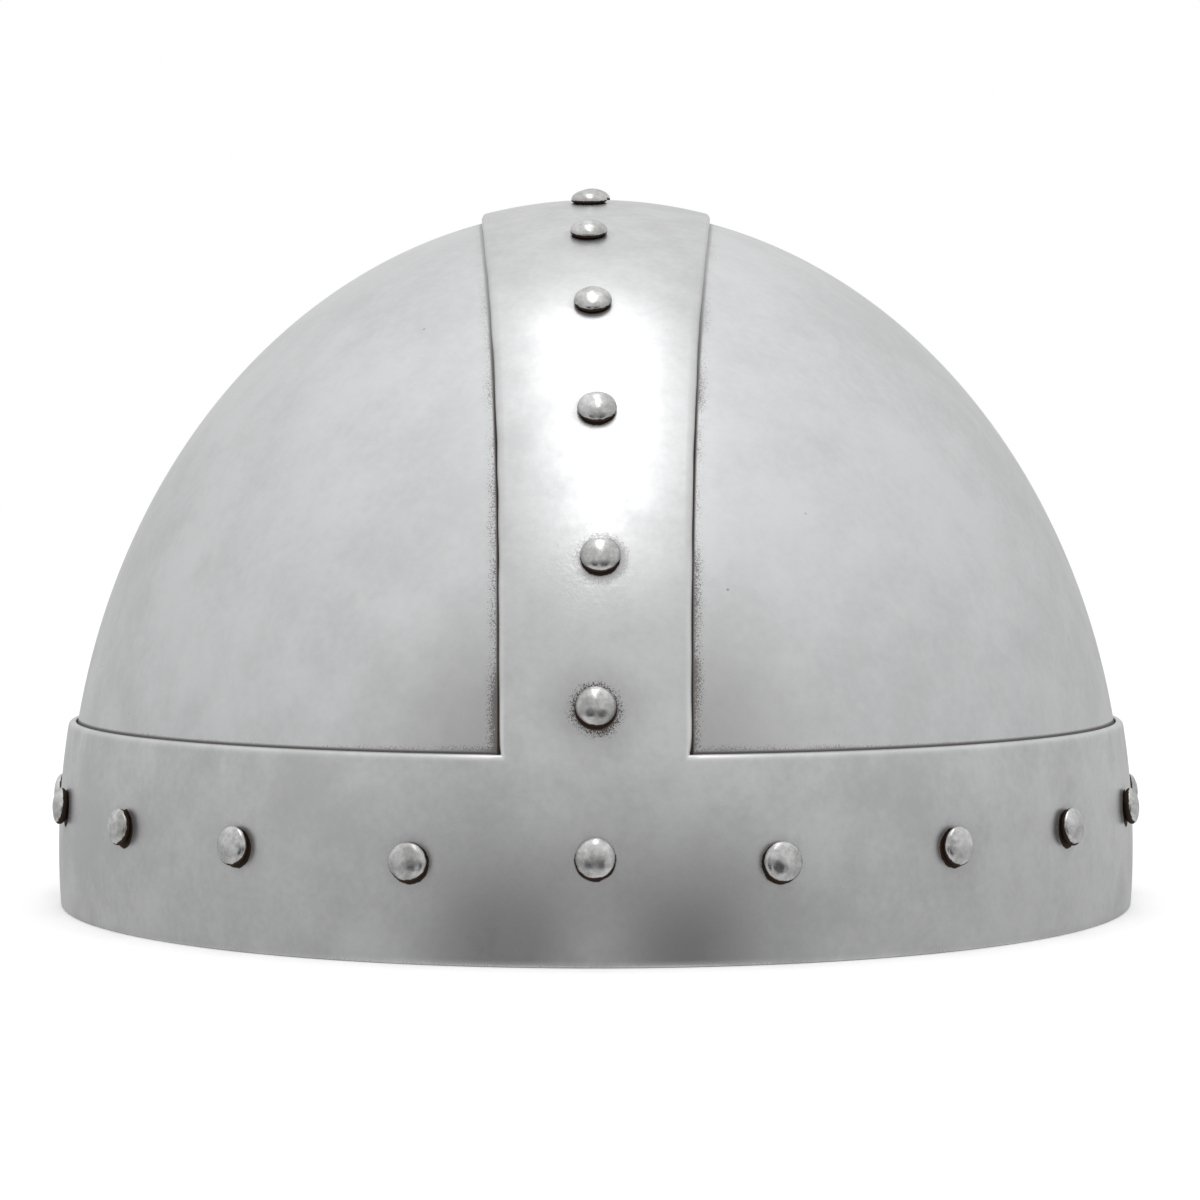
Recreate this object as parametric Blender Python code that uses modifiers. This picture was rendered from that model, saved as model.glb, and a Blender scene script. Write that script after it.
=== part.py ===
"""A riveted steel helmet of the spangenhelm family.

Two half-bowl panels lap along the crest. A brow band and a crest strap, welded into one frame, lie over
them, and rivets clamp the sheets together. The rim rests on Z = 0, the face looks along -Y, +X is the
wearer's left, and the origin is below the middle of the bowl. Lengths are in metres.
"""
import math

import bmesh
import bpy
from mathutils import Matrix, Vector

# The bowl, inside
HEAD_WIDTH = 0.2066  # ear to ear, at the widest level
HEAD_LENGTH = 0.2362  # brow to nape, at the widest level
CROWN_RISE = 0.1247  # from the widest level up to the crown
WIDEST_LEVEL = 0.0108  # above the rim

# The sheets
PANEL_SHEET = 0.0012
FRAME_SHEET = 0.0014
SHEET_GAP = 0.0003  # left between sheets that lie on each other

# The frame
BAND_HEIGHT = 0.0360
STRAP_BROW_WIDTH = 0.0330
STRAP_CROWN_WIDTH = 0.0454
STRAP_FLARE = 4.0  # how late the strap widens on its way up
STRAP_STATIONS = 28  # points along each edge of the strap

# The panels
PANEL_HEM = 0.0050  # height of the panels' lower edge above the rim
LAP_HALF = 0.0070  # how far each panel passes the middle of the crest
JOGGLE_SLOPE = 0.0030  # width of the pressed step beside the lap

# The rivets
HEAD_DIAMETER = 0.0070
HEAD_HEIGHT = 0.0024
SHANK_DIAMETER = 0.0040
TAIL_DIAMETER = 0.0064
TAIL_END_DIAMETER = 0.0042
TAIL_HEIGHT = 0.0011
HOLE_CLEARANCE = 0.0003  # round the shank, at the flats
SEAT_GAP = 0.0003  # under the head and under the tail
BROW_RIVETS = 20
RIVET_SIDES = 8
DOME_STEPS = 2

# How finely the bowl is faceted
BOWL_SEGMENTS = 44  # round the ear-to-ear axis
BOWL_RINGS = 24  # from ear to ear
CREASE_ANGLE = math.radians(30)  # a sharper edge stays sharp in the shading
WELD_DISTANCE = 0.00001  # points closer than this are one

# The brow rivets of one quarter, from the middle of the brow or nape round to the ear.
# height: share of the band's height. nudge: share of one step, towards the ear.
BROW_ROW = (
    {"height": 0.517, "nudge": 0.00},
    {"height": 0.489, "nudge": -0.04},
    {"height": 0.517, "nudge": 0.01},
    {"height": 0.545, "nudge": -0.01},
    {"height": 0.571, "nudge": 0.02},
    {"height": 0.575, "nudge": 0.00},
)

# The crest rivets of one half, from the brow or nape up to the crown.
# climb: share of the quarter turn from the widest level to the crown.
# aside: share of the strap's width at the brow, towards +X.
CREST_ROW = (
    {"climb": 0.167, "aside": 0.003},
    {"climb": 0.303, "aside": 0.026},
    {"climb": 0.457, "aside": 0.008},
    {"climb": 0.604, "aside": -0.015},
    {"climb": 0.750, "aside": -0.039},
    {"climb": 0.890, "aside": -0.039},
    {"climb": 1.000, "aside": -0.020},
)

# Layers, as offsets from the panels' inner skin
PANEL_OUTER = PANEL_SHEET
FRAME_OUTER = PANEL_OUTER + SHEET_GAP + FRAME_SHEET
LIP_OUTER = -SHEET_GAP
LIP_INNER = LIP_OUTER - PANEL_SHEET

FINISHES = {
    "frame_steel": {"colour": (0.56, 0.57, 0.58), "roughness": 0.38},
    "panel_steel": {"colour": (0.60, 0.61, 0.62), "roughness": 0.42},
    "rivet_steel": {"colour": (0.62, 0.62, 0.63), "roughness": 0.30},
}


def clear_scene():
    for obj in list(bpy.data.objects):
        bpy.data.objects.remove(obj)


def new_collection(name):
    collection = bpy.data.collections.new(name)
    bpy.context.scene.collection.children.link(collection)
    return collection


def new_finish(name, colour, roughness):
    material = bpy.data.materials.new(name)
    material.use_nodes = True
    shader = material.node_tree.nodes["Principled BSDF"]
    shader.inputs["Base Color"].default_value = (*colour, 1.0)
    shader.inputs["Roughness"].default_value = roughness
    shader.inputs["Metallic"].default_value = 1.0
    return material


def object_from_bmesh(bm, name, collection):
    mesh = bpy.data.meshes.new(name)
    bm.to_mesh(mesh)
    bm.free()
    obj = bpy.data.objects.new(name, mesh)
    collection.objects.link(obj)
    return obj


def shade_round(mesh):
    mesh.shade_smooth()
    mesh.set_sharp_from_angle(angle=CREASE_ANGLE)


def mark_cutter(obj):
    obj.hide_render = True
    obj.display_type = "WIRE"


def semi_axes(offset):
    """Half the width, half the length and the rise of the bowl surface at this offset."""
    return HEAD_WIDTH / 2 + offset, HEAD_LENGTH / 2 + offset, CROWN_RISE + offset


def bowl_normal(point, offset):
    """Outward direction of the bowl surface at a point on or near it."""
    half_width, half_length, rise = semi_axes(offset)
    height = point.z - WIDEST_LEVEL
    return Vector((point.x / half_width**2, point.y / half_length**2, height / rise**2)).normalized()


def bowl_surface(offset):
    """A whole faceted ellipsoid at this offset. Its poles are at the ears, so its rings follow the crest."""
    bm = bmesh.new()
    poles_to_ears = Matrix.Rotation(math.pi / 2, 4, "Y")
    bmesh.ops.create_uvsphere(
        bm, u_segments=BOWL_SEGMENTS, v_segments=BOWL_RINGS, radius=1.0, matrix=poles_to_ears
    )
    bmesh.ops.scale(bm, vec=Vector(semi_axes(offset)), verts=bm.verts)
    bmesh.ops.translate(bm, vec=Vector((0, 0, WIDEST_LEVEL)), verts=bm.verts)
    return bm


def cut_surface(bm, point, normal, remove=True):
    """Cuts the surface by a plane. What lies on the normal's side is removed, or only creased there."""
    bmesh.ops.bisect_plane(
        bm, geom=bm.verts[:] + bm.edges[:] + bm.faces[:], plane_co=point, plane_no=normal, clear_outer=remove
    )


def facet_sag():
    """How far the middle of a facet lies inside the true surface, at most."""
    longest = max(semi_axes(FRAME_OUTER))
    ring_sag = longest * (1 - math.cos(math.pi / BOWL_RINGS / 2))
    segment_sag = longest * (1 - math.cos(math.pi / BOWL_SEGMENTS))
    return ring_sag + segment_sag


def add_sheet(obj, thickness):
    """Gives a surface its thickness, inwards."""
    shade_round(obj.data)
    solidify = obj.modifiers.new("sheet", "SOLIDIFY")
    solidify.thickness = thickness
    solidify.offset = -1.0
    solidify.use_even_offset = True


def add_boolean(obj, name, operation, other):
    boolean = obj.modifiers.new(name, "BOOLEAN")
    boolean.operation = operation
    boolean.object = other


def strap_half_width(share_of_length):
    """Half the strap's width where it passes this share of the bowl's half length from the middle."""
    climb = math.sqrt(1 - share_of_length**2)
    flare = (STRAP_CROWN_WIDTH - STRAP_BROW_WIDTH) / 2 * climb**STRAP_FLARE
    return STRAP_BROW_WIDTH / 2 + flare


def strap_outline():
    """The strap seen from above, as a closed row of points round its edge."""
    half_length = semi_axes(FRAME_OUTER)[1]
    overrun = half_length + FRAME_SHEET
    edge = [(STRAP_BROW_WIDTH / 2, -overrun)]
    for station in range(STRAP_STATIONS + 1):
        turn = math.pi * station / STRAP_STATIONS
        edge.append((strap_half_width(math.cos(turn)), -half_length * math.cos(turn)))
    edge.append((STRAP_BROW_WIDTH / 2, overrun))
    return edge + [(-x, y) for x, y in reversed(edge)]


def make_strap_cutter(collection):
    """An upright prism with the strap's outline, standing in the band and reaching over the crown."""
    bottom = BAND_HEIGHT / 2
    top = WIDEST_LEVEL + semi_axes(FRAME_OUTER)[2] + FRAME_SHEET
    outline = strap_outline()
    curve = bpy.data.curves.new("strap_outline", "CURVE")
    curve.dimensions = "2D"
    curve.fill_mode = "BOTH"
    curve.extrude = (top - bottom) / 2
    spline = curve.splines.new("POLY")
    spline.points.add(len(outline) - 1)
    for point, (x, y) in zip(spline.points, outline):
        point.co = (x, y, 0, 1)
    spline.use_cyclic_u = True
    guide = bpy.data.objects.new("strap_outline", curve)
    guide.location.z = (top + bottom) / 2
    collection.objects.link(guide)
    bpy.context.view_layer.update()
    evaluated = guide.evaluated_get(bpy.context.evaluated_depsgraph_get())
    mesh = bpy.data.meshes.new_from_object(evaluated)
    bm = bmesh.new()
    bm.from_mesh(mesh)
    bpy.data.meshes.remove(mesh)
    bmesh.ops.remove_doubles(bm, verts=bm.verts, dist=WELD_DISTANCE)
    bmesh.ops.transform(bm, matrix=guide.matrix_world, verts=bm.verts)
    bpy.data.objects.remove(guide)
    cutter = object_from_bmesh(bm, "strap_cutter", collection)
    mark_cutter(cutter)
    return cutter


def make_frame_blank(collection):
    """Everything that the frame may fill: a slab up to the band's upper edge, and the strap above it."""
    width, length = HEAD_WIDTH * 2, HEAD_LENGTH * 2
    bm = bmesh.new()
    bmesh.ops.create_cube(bm, size=1.0)
    bmesh.ops.scale(bm, vec=Vector((width, length, BAND_HEIGHT)), verts=bm.verts)
    bmesh.ops.translate(bm, vec=Vector((0, 0, BAND_HEIGHT / 2)), verts=bm.verts)
    blank = object_from_bmesh(bm, "frame_blank", collection)
    add_boolean(blank, "strap", "UNION", make_strap_cutter(collection))
    mark_cutter(blank)
    return blank


def make_frame(collection, blank):
    frame = object_from_bmesh(bowl_surface(FRAME_OUTER), "band_frame", collection)
    add_sheet(frame, FRAME_SHEET)
    add_boolean(frame, "outline", "INTERSECT", blank)
    return frame


def make_left_panel(collection):
    """The +X half of the bowl. It passes the middle of the crest and lies over the other panel's lip."""
    bm = bowl_surface(PANEL_OUTER)
    cut_surface(bm, (0, 0, PANEL_HEM), (0, 0, -1))
    cut_surface(bm, (-LAP_HALF, 0, 0), (-1, 0, 0))
    panel = object_from_bmesh(bm, "left_panel", collection)
    add_sheet(panel, PANEL_SHEET)
    return panel


def make_right_panel(collection):
    """The -X half of the bowl. Its lip is pressed inwards by one sheet to pass under the other panel."""
    lip_start = -LAP_HALF - SHEET_GAP
    press_depth = PANEL_OUTER - LIP_OUTER
    bm = bowl_surface(PANEL_OUTER)
    cut_surface(bm, (0, 0, PANEL_HEM), (0, 0, -1))
    cut_surface(bm, (LAP_HALF, 0, 0), (1, 0, 0))
    cut_surface(bm, (lip_start, 0, 0), (1, 0, 0), remove=False)
    cut_surface(bm, (lip_start - JOGGLE_SLOPE, 0, 0), (1, 0, 0), remove=False)
    for vert in bm.verts:
        if vert.co.x > lip_start - SHEET_GAP:
            vert.co -= bowl_normal(vert.co, PANEL_OUTER) * press_depth
    panel = object_from_bmesh(bm, "right_panel", collection)
    add_sheet(panel, PANEL_SHEET)
    return panel


def rivet_seat(point):
    """Places a rivet's head on the frame at this point, square to the surface."""
    normal = bowl_normal(point, FRAME_OUTER)
    turned = normal.to_track_quat("Z", "Y").to_matrix().to_4x4()
    return Matrix.Translation(point + normal * SEAT_GAP) @ turned


def brow_seats():
    """(seat, whether the rivet holds the crest lap too) for each brow rivet, from the brow towards +X."""
    half_width, half_length, rise = semi_axes(FRAME_OUTER)
    step = math.tau / BROW_RIVETS
    seats = []
    for index in range(BROW_RIVETS):
        turn = index * step
        from_middle = math.asin(abs(math.sin(turn)))
        row = BROW_ROW[min(round(from_middle / step), len(BROW_ROW) - 1)]
        towards_ear = math.copysign(1, math.sin(2 * turn))
        turn += row["nudge"] * step * towards_ear
        height = row["height"] * BAND_HEIGHT
        level = math.sqrt(1 - ((height - WIDEST_LEVEL) / rise) ** 2)
        point = Vector((half_width * level * math.sin(turn), -half_length * level * math.cos(turn), height))
        seats.append((rivet_seat(point), abs(point.x) < LAP_HALF))
    return seats


def crest_seats():
    """The seat of each crest rivet, from the brow over the crown to the nape."""
    half_width, half_length, rise = semi_axes(FRAME_OUTER)
    seats = []
    for facing, rows in ((-1, CREST_ROW), (1, tuple(reversed(CREST_ROW[:-1])))):
        for row in rows:
            aside = row["aside"] * STRAP_BROW_WIDTH
            climb = row["climb"] * math.pi / 2
            level = math.sqrt(1 - (aside / half_width) ** 2)
            along = facing * half_length * level * math.cos(climb)
            height = WIDEST_LEVEL + rise * level * math.sin(climb)
            seats.append(rivet_seat(Vector((aside, along, height))))
    return seats


def grip_through(innermost):
    """Length of shank between head and tail, for a rivet that reaches in to this layer."""
    return FRAME_OUTER - innermost + 2 * SEAT_GAP + facet_sag()


def rivet_profile(name, grip):
    """Half a rivet's section, from the top of its domed head down to the middle of its hammered tail."""
    points = []
    for step in range(DOME_STEPS):
        turn = math.pi / 2 * step / DOME_STEPS
        points.append((HEAD_DIAMETER / 2 * math.sin(turn), HEAD_HEIGHT * math.cos(turn)))
    points += [
        (HEAD_DIAMETER / 2, 0.0),
        (SHANK_DIAMETER / 2, 0.0),
        (SHANK_DIAMETER / 2, -grip),
        (TAIL_DIAMETER / 2, -grip),
        (TAIL_END_DIAMETER / 2, -grip - TAIL_HEIGHT),
        (0.0, -grip - TAIL_HEIGHT),
    ]
    mesh = bpy.data.meshes.new(name)
    edges = [(i, i + 1) for i in range(len(points) - 1)]
    mesh.from_pydata([(x, 0.0, z) for x, z in points], edges, [])
    return mesh


def make_rivet(name, profile, seat, collection):
    rivet = bpy.data.objects.new(name, profile)
    rivet.location = seat.translation
    rivet.rotation_mode = "QUATERNION"
    rivet.rotation_quaternion = seat.to_quaternion()
    collection.objects.link(rivet)
    screw = rivet.modifiers.new("turned", "SCREW")
    screw.steps = RIVET_SIDES
    screw.render_steps = RIVET_SIDES
    screw.use_merge_vertices = True
    screw.merge_threshold = WELD_DISTANCE
    return rivet


def make_holes(seats, collection):
    """One drill for each rivet, a quarter of it outside and the rest through the frame and both panels."""
    depth = 2 * grip_through(LIP_INNER)
    inwards = Matrix.Translation((0, 0, -depth / 4))
    radius = (SHANK_DIAMETER / 2 + HOLE_CLEARANCE) / math.cos(math.pi / RIVET_SIDES)
    bm = bmesh.new()
    for seat in seats:
        bmesh.ops.create_cone(
            bm,
            cap_ends=True,
            segments=RIVET_SIDES,
            radius1=radius,
            radius2=radius,
            depth=depth,
            matrix=seat @ inwards,
        )
    holes = object_from_bmesh(bm, "rivet_holes", collection)
    mark_cutter(holes)
    return holes


def main():
    clear_scene()
    parts = new_collection("spangenhelm")
    cutters = new_collection("cutters")
    finishes = {name: new_finish(name, **look) for name, look in FINISHES.items()}

    frame = make_frame(parts, make_frame_blank(cutters))
    left_panel = make_left_panel(parts)
    right_panel = make_right_panel(parts)

    brow = brow_seats()
    crest = crest_seats()
    holes = make_holes([seat for seat, _ in brow] + crest, cutters)
    for sheet in (frame, left_panel, right_panel):
        add_boolean(sheet, "holes", "DIFFERENCE", holes)

    short_profile = rivet_profile("short_rivet", grip_through(0.0))
    long_profile = rivet_profile("long_rivet", grip_through(LIP_INNER))
    rivets = []
    for number, (seat, on_lap) in enumerate(brow, start=1):
        profile = long_profile if on_lap else short_profile
        rivets.append(make_rivet(f"brow_rivet_{number:02d}", profile, seat, parts))
    for number, seat in enumerate(crest, start=1):
        rivets.append(make_rivet(f"crest_rivet_{number:02d}", long_profile, seat, parts))

    frame.data.materials.append(finishes["frame_steel"])
    left_panel.data.materials.append(finishes["panel_steel"])
    right_panel.data.materials.append(finishes["panel_steel"])
    for profile in (short_profile, long_profile):
        profile.materials.append(finishes["rivet_steel"])

    helmet = bpy.data.objects.new("helmet", None)
    parts.objects.link(helmet)
    for piece in (frame, left_panel, right_panel, *rivets):
        piece.parent = helmet


main()
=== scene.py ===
# %% [markdown]
# # A riveted steel helmet, dressed
#
# The helmet is a bowl of two steel panels. A brow band and a crest strap, welded into one frame, lie over the
# panels, and rivets hold the sheets together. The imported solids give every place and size. This script makes
# the fine surfaces that stand for them, their blasted steel, the floor, the light and the camera.

# %% Load the frame
import math

import bpy
import numpy as np
from mathutils import Matrix, Vector, noise


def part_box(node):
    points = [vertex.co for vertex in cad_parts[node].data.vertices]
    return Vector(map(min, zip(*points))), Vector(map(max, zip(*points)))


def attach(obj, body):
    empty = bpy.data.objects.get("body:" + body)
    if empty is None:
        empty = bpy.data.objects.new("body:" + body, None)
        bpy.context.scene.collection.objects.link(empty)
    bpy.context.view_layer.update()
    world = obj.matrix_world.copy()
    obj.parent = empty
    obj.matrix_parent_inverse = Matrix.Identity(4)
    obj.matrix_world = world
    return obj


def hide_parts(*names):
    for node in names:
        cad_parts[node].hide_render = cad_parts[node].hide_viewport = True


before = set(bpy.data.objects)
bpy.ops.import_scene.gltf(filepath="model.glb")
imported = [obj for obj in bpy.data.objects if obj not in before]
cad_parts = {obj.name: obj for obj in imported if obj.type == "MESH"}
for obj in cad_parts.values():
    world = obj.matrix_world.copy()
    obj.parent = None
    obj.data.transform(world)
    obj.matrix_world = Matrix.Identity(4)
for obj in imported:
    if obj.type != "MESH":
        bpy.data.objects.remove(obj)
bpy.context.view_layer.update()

# %% [markdown]
# ## The bowl as a formula
#
# The whole bowl is a stretched sphere, so one formula gives any point of any sheet. A point is named by its
# distance from the middle line and by its climb, an angle that starts at the brow, passes 90 degrees at the
# crown and ends at the nape. Working from a formula keeps the sheets exactly one above the other.

# %% The bowl's measures
MM = 0.001
WIDEST_LEVEL = 10.8 * MM
CROWN_RISE = 127.6 * MM  # from the widest level to the outer face of the strap
FRAME_SHEET = 1.4 * MM
PANEL_SHEET = 1.2 * MM
SHEET_GAP = 0.3 * MM

frame_low, frame_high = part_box("band_frame")
HALF_WIDTH, HALF_LENGTH = frame_high.x, frame_high.y
PANEL_DEPTH = FRAME_SHEET + SHEET_GAP  # of the panels' outer face below the frame's
print("half width", round(HALF_WIDTH, 4), "half length", round(HALF_LENGTH, 4), "panel depth", PANEL_DEPTH)

# %% Points and normals of the bowl


def semi_axes(depth=0.0):
    """Half width, half length and rise of the bowl, this far below the frame's outer face."""
    return HALF_WIDTH - depth, HALF_LENGTH - depth, CROWN_RISE - depth


def bowl_point(x, climb, depth=0.0):
    """The point at this distance from the middle line and this climb."""
    half_width, half_length, rise = semi_axes(depth)
    reach = math.sqrt(max(0.0, 1 - (x / half_width) ** 2))
    return Vector((x, -half_length * reach * math.cos(climb), WIDEST_LEVEL + rise * reach * math.sin(climb)))


def bowl_normal(point, depth=0.0):
    half_width, half_length, rise = semi_axes(depth)
    height = point.z - WIDEST_LEVEL
    return Vector((point.x / half_width**2, point.y / half_length**2, height / rise**2)).normalized()


def outwardness(point):
    """1 on the frame's outer face, less below it and more above."""
    level = (point.z - WIDEST_LEVEL) / CROWN_RISE
    return (point.x / HALF_WIDTH) ** 2 + (point.y / HALF_LENGTH) ** 2 + level**2


print("crest is at", tuple(round(v, 4) for v in bowl_point(0.0, math.pi / 2)))

# %% [markdown]
# ## Small helpers for modelling
#
# Operators act on whatever is selected, so a helper first deselects everything and makes one piece active.
# Others pick points by their place. With these, the steps below read like work done by hand.

# %% Selecting helpers


def only(piece):
    """Leaves just this piece selected and active."""
    bpy.ops.object.select_all(action="DESELECT")
    piece.select_set(True)
    bpy.context.view_layer.objects.active = piece


def named(name):
    """The piece that an operator has just added, with its new name."""
    piece = bpy.context.active_object
    piece.name = name
    piece.data.name = name
    return piece


def edit(piece):
    """Opens the piece in edit mode with everything selected."""
    only(piece)
    bpy.ops.object.mode_set(mode="EDIT")
    bpy.ops.mesh.select_all(action="SELECT")


def done():
    bpy.ops.object.mode_set(mode="OBJECT")


def edit_picked(piece, wanted):
    """Opens the piece in edit mode with only the points whose place passes the test."""
    edit(piece)
    bpy.ops.mesh.select_mode(type="VERT")
    bpy.ops.mesh.select_all(action="DESELECT")
    done()
    for vertex in piece.data.vertices:
        vertex.select = wanted(vertex.co)
    bpy.ops.object.mode_set(mode="EDIT")


def triangles(piece):
    return sum(len(face.vertices) - 2 for face in piece.data.polygons)


print("helpers ready, starting from", len(bpy.data.meshes), "packed meshes")

# %% [markdown]
# ## The two panels
#
# Each half of the bowl is raised from one sheet. A sphere with its poles at the ears is stretched to the
# bowl's size, so its rows run along the crest as the lap does. Two straight cuts trim it: one at the hem and
# one along the lap.

# %% Trim a bowl
PANEL_HEM = 5.0 * MM
LAP_HALF = 7.0 * MM
PANEL_SEGMENTS = 300
PANEL_RINGS = 150


def trimmed_bowl(name, side):
    """Half a bowl as an open surface. side is +1 for the panel on +X and -1 for the other."""
    bpy.ops.object.select_all(action="DESELECT")
    bpy.ops.mesh.primitive_uv_sphere_add(
        segments=PANEL_SEGMENTS, ring_count=PANEL_RINGS, radius=1.0, rotation=(0, math.pi / 2, 0)
    )
    panel = named(name)
    bpy.ops.object.transform_apply(rotation=True)
    edit(panel)
    bpy.ops.transform.resize(value=semi_axes(PANEL_DEPTH), center_override=(0, 0, 0))
    bpy.ops.transform.translate(value=(0, 0, WIDEST_LEVEL))
    bpy.ops.mesh.bisect(plane_co=(0, 0, PANEL_HEM), plane_no=(0, 0, -1), clear_outer=True)
    bpy.ops.mesh.select_all(action="SELECT")
    bpy.ops.mesh.bisect(plane_co=(-side * LAP_HALF, 0, 0), plane_no=(-side, 0, 0), clear_outer=True)
    done()
    return panel


left_panel = trimmed_bowl("left_panel_steel", 1)
right_panel = trimmed_bowl("right_panel_steel", -1)
print("each panel has", len(left_panel.data.polygons), "faces so far")

# %% [markdown]
# ### The pressed lip
#
# Two sheets can't lie in the same place, so the right panel's lip is pressed inwards by one sheet and passes
# under the left panel. A few more rows are cut across the slope, so that it bends smoothly. Then Solidify
# gives both sheets their thickness inwards, from the outer face that is seen.

# %% Press the lip
JOGGLE_SLOPE = 3.0 * MM
SLOPE_START = -LAP_HALF - SHEET_GAP - JOGGLE_SLOPE


def ease(share):
    """0 to 1 with a soft start and end."""
    share = min(1.0, max(0.0, share))
    return share * share * (3 - 2 * share)


edit(right_panel)
for share in (0.0, 0.25, 0.5, 0.75, 1.0):
    bpy.ops.mesh.select_all(action="SELECT")
    bpy.ops.mesh.bisect(plane_co=(SLOPE_START + JOGGLE_SLOPE * share, 0, 0), plane_no=(1, 0, 0))
done()
for vertex in right_panel.data.vertices:
    share = ease((vertex.co.x - SLOPE_START) / JOGGLE_SLOPE)
    vertex.co -= bowl_normal(vertex.co, PANEL_DEPTH) * (PANEL_SHEET + SHEET_GAP) * share


def thicken(piece, sheet):
    only(piece)
    solidify = piece.modifiers.new("sheet", "SOLIDIFY")
    solidify.thickness = sheet
    solidify.offset = -1.0
    solidify.use_even_offset = True
    bpy.ops.object.modifier_apply(modifier=solidify.name)


for panel in (left_panel, right_panel):
    thicken(panel, PANEL_SHEET)
    print(panel.name, triangles(panel), "triangles")

# %% [markdown]
# ## The band and strap
#
# The smith cuts both as flat strips, dishes them onto the bowl and welds them at brow and nape. Here too each
# starts as a flat grid and is then wrapped onto the bowl. The strap's columns meet the band's columns, so the
# two weld into one surface with a clean inner corner.

# %% Columns of the band
BAND_HEIGHT = 36.0 * MM
STRAP_BROW_HALF = 16.5 * MM
STRAP_COLUMNS = 22
FLANK_COLUMNS = 200

band_top_level = (BAND_HEIGHT - WIDEST_LEVEL) / CROWN_RISE
band_top_reach = math.sqrt(1 - band_top_level**2)
strap_turn = math.asin(STRAP_BROW_HALF / HALF_WIDTH / band_top_reach)
over_strap = np.linspace(0, strap_turn, STRAP_COLUMNS // 2 + 1)
flank = np.linspace(strap_turn, math.pi - strap_turn, FLANK_COLUMNS + 1)
half_round = np.concatenate((over_strap, flank[1:-1], math.pi - over_strap[::-1]))
turns = np.concatenate((-half_round[:0:-1], half_round))  # each column's turn, from nape round to nape
print(len(turns), "columns; the strap spans", round(math.degrees(2 * strap_turn), 1), "degrees of the band")

# %% Lay out and wrap the strips
BAND_ROWS = 24
STRAP_ROWS = 240
STRAP_CROWN_HALF = 22.7 * MM
STRAP_FLARE = 4.0


def flat_strip(name, columns, rows):
    """A flat grid from (0, 0) to (columns, rows), so that a point's place is its column and row."""
    bpy.ops.object.select_all(action="DESELECT")
    bpy.ops.mesh.primitive_grid_add(x_subdivisions=columns, y_subdivisions=rows, size=2.0)
    strip = named(name)
    edit(strip)
    bpy.ops.transform.translate(value=(1, 1, 0))
    bpy.ops.transform.resize(value=(columns / 2, rows / 2, 1), center_override=(0, 0, 0))
    done()
    return strip


band = flat_strip("brow_band", len(turns) - 1, BAND_ROWS)
for vertex in band.data.vertices:
    turn = turns[round(vertex.co.x)]
    height = BAND_HEIGHT * vertex.co.y / BAND_ROWS
    reach = math.sqrt(1 - ((height - WIDEST_LEVEL) / CROWN_RISE) ** 2)
    vertex.co = (HALF_WIDTH * reach * math.sin(turn), -HALF_LENGTH * reach * math.cos(turn), height)

strap = flat_strip("crest_strap", STRAP_COLUMNS, STRAP_ROWS)
for vertex in strap.data.vertices:
    turn = turns[len(turns) // 2 + round(vertex.co.x) - STRAP_COLUMNS // 2]
    x = HALF_WIDTH * band_top_reach * math.sin(turn)
    start = math.asin(band_top_level / math.sqrt(1 - (x / HALF_WIDTH) ** 2))
    climb = start + (math.pi - 2 * start) * vertex.co.y / STRAP_ROWS
    flare = math.sin(climb) ** STRAP_FLARE - math.sin(start) ** STRAP_FLARE
    vertex.co = bowl_point(x * (1 + (STRAP_CROWN_HALF / STRAP_BROW_HALF - 1) * flare), climb)
print("band", len(band.data.polygons), "faces, strap", len(strap.data.polygons), "faces")

# %% [markdown]
# ### Weld the strips
#
# Joining the strips and merging the shared row welds them. The normals are made to agree while the sheet is
# still a single face thick. Sheared strips are never dead straight, so the cut edges wander a little, and
# each inner corner is filed back slightly where the weld was dressed.

# %% Weld and file
WELD_DISTANCE = 0.02 * MM
WANDER = 0.12 * MM
WANDER_LENGTH = 8 * MM
CORNER_RELIEF = 0.3 * MM
RELIEF_LENGTH = 1.6 * MM

only(band)
strap.select_set(True)
bpy.ops.object.join()
frame_steel = named("band_frame_steel")
edit(frame_steel)
bpy.ops.mesh.remove_doubles(threshold=WELD_DISTANCE)
bpy.ops.mesh.normals_make_consistent(inside=False)
done()

for vertex in frame_steel.data.vertices:
    above = vertex.co.z - BAND_HEIGHT
    at_corner_level = abs(above) <= WELD_DISTANCE and abs(vertex.co.x) < STRAP_BROW_HALF + WELD_DISTANCE
    if above > WELD_DISTANCE or at_corner_level:
        push = WANDER * noise.noise(vertex.co / WANDER_LENGTH) * ease(above / RELIEF_LENGTH / 2)
        relief = CORNER_RELIEF * math.exp(-max(above, 0.0) / RELIEF_LENGTH)
        side = math.copysign(1.0, vertex.co.x)
        vertex.co.x += side * (push - relief) * min(1.0, abs(vertex.co.x) / STRAP_BROW_HALF) ** 3
print("welded surface:", len(frame_steel.data.polygons), "faces")

# %% [markdown]
# ### Thicken and round the edges
#
# Solidify gives the sheet its thickness inwards. The outer cut edges are rounded generously, as a hammered
# and filed edge is, the rim less, and the inner edges are only broken. Each set is picked by its place.

# %% Round the edges
OUTER_ROUND = 1.0 * MM
RIM_ROUND = 0.45 * MM
INNER_ROUND = 0.2 * MM
SHARP = math.radians(50)

thicken(frame_steel, FRAME_SHEET)


def depth_of(point):
    """How far a point lies below the frame's outer face, closely enough for thin sheets."""
    outward = math.sqrt(outwardness(point))
    return (1 - outward) * point.length / outward


def sharp_edges(piece):
    """Keys of the edges where two faces meet steeply."""
    facing = {}
    for face in piece.data.polygons:
        for key in face.edge_keys:
            facing.setdefault(key, []).append(face.normal)
    pairs = {key: normals for key, normals in facing.items() if len(normals) == 2}
    return {key for key, (first, second) in pairs.items() if first.angle(second) > SHARP}


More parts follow.
